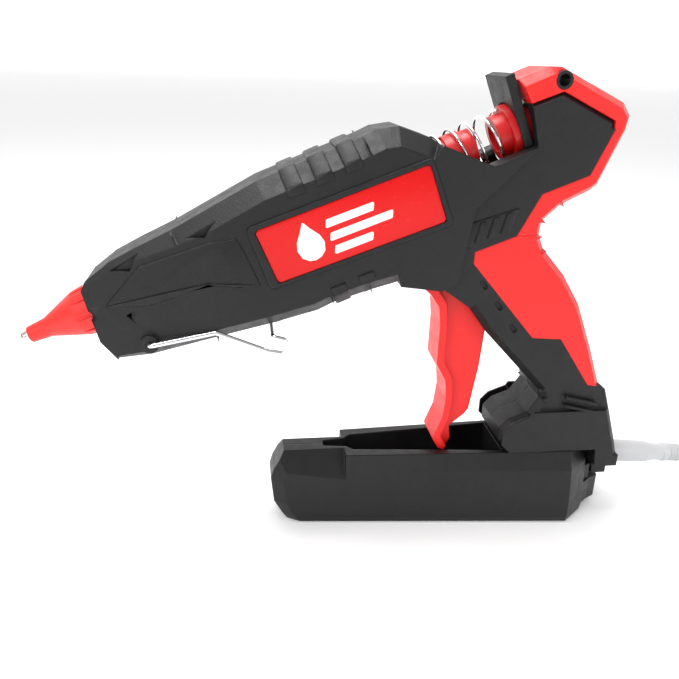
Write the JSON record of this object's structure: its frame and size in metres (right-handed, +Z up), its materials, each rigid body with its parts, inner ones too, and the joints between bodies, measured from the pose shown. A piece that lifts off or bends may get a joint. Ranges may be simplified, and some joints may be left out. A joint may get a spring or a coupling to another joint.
{
  "type": "glue gun",
  "caption": "Trigger-fed hot glue gun with red grip and nozzle sleeve, seated by its foot in a tapered stand, with a fold-out wire prop and a mains cord.",
  "frame": {"origin": "underside of the middle pad under the stand, on the plane it stands on", "axes": "+X from the nozzle towards the grip and cord, +Z up, the gun is symmetric about y = 0"},
  "size_m": [0.5274, 0.0648, 0.2142],
  "materials": {
    "shell_black": "fine grained",
    "grip_red": "satin",
    "label_red": "gloss",
    "stand_black": "fine grained",
    "silicone_red": "satin",
    "nozzle_metal": "nickel plated",
    "chamber_metal": "cast",
    "ring_metal": "satin",
    "heater_film": "film",
    "spring_steel": "bright",
    "wire_chrome": "polished",
    "feed_red": "satin",
    "guide_red": "satin",
    "screw_steel": "zinc plated",
    "pin_steel": "ground",
    "switch_black": "satin",
    "switch_red": "gloss",
    "terminal_white": "satin",
    "lead_white": "satin",
    "cord_white": "satin",
    "plug_white": "satin",
    "blade_brass": "plated",
    "foot_rubber": "matte"
  },
  "bodies": {
    "stand": {"stand_right": "stand_black", "stand_left": "stand_black", "base_plate": "stand_black", "stand_screws": "screw_steel", "rubber_feet": "foot_rubber", "stand_tail": "stand_black"},
    "gun": {"right_shell": "shell_black", "left_shell": "shell_black", "rear_cover_right": "grip_red", "rear_cover_left": "grip_red", "grip_back_right": "grip_red", "grip_back_left": "grip_red", "label_right": "label_red", "label_left": "label_red", "shell_screws": "screw_steel", "nozzle_tip": "nozzle_metal", "melt_chamber": "chamber_metal", "front_ring": "ring_metal", "stick_sleeve": "silicone_red", "guide_tube": "guide_red", "nozzle_cover": "silicone_red", "heater_element": "heater_film", "heater_clip": "spring_steel", "return_spring": "spring_steel", "arch_plate": "shell_black", "hanging_eye": "shell_black", "trigger_pin": "pin_steel", "switch_housing": "switch_black", "terminal_block": "terminal_white", "heater_leads": "lead_white", "cord_clamp": "terminal_white", "strain_relief": "cord_white", "cord": "cord_white", "cord_hank": "cord_white", "plug_body": "plug_white", "plug_blades": "blade_brass"},
    "trigger": {"trigger": "grip_red"},
    "feed": {"feed_carriage": "feed_red", "feed_jaw": "spring_steel"},
    "wire_stand": {"wire_stand": "wire_chrome"},
    "power_switch": {"rocker": "switch_red"}
  },
  "joints": [
    {"name": "gun_lift", "type": "slide", "parent": "stand", "child": "gun", "axis": [0, 0, 1], "range_m": [0, 0.07]},
    {"name": "trigger_swing", "type": "hinge", "parent": "gun", "child": "trigger", "pos_m": [0.014, 0, 0.118], "axis": [0, -1, 0], "range_deg": [0, 11], "stiffness_Nm_per_rad": 2, "springref_deg": -5.73},
    {"name": "feed_slide", "type": "slide", "parent": "gun", "child": "feed", "axis": [-0.9191, 0, -0.3939], "range_m": [0, 0.0088], "deforming": ["return_spring"]},
    {"name": "wire_stand_swing", "type": "hinge", "parent": "gun", "child": "wire_stand", "pos_m": [-0.141, 0, 0.1], "axis": [0, 1, 0], "range_deg": [0, 95]},
    {"name": "power_switch_tilt", "type": "hinge", "parent": "gun", "child": "power_switch", "pos_m": [0.07662, 0, 0.04732], "axis": [0, -1, 0], "range_deg": [0, 10]}
  ],
  "couplings": [
    {"joint": "feed_slide", "follows": "trigger_swing", "m_per_rad": 0.0448}
  ]
}
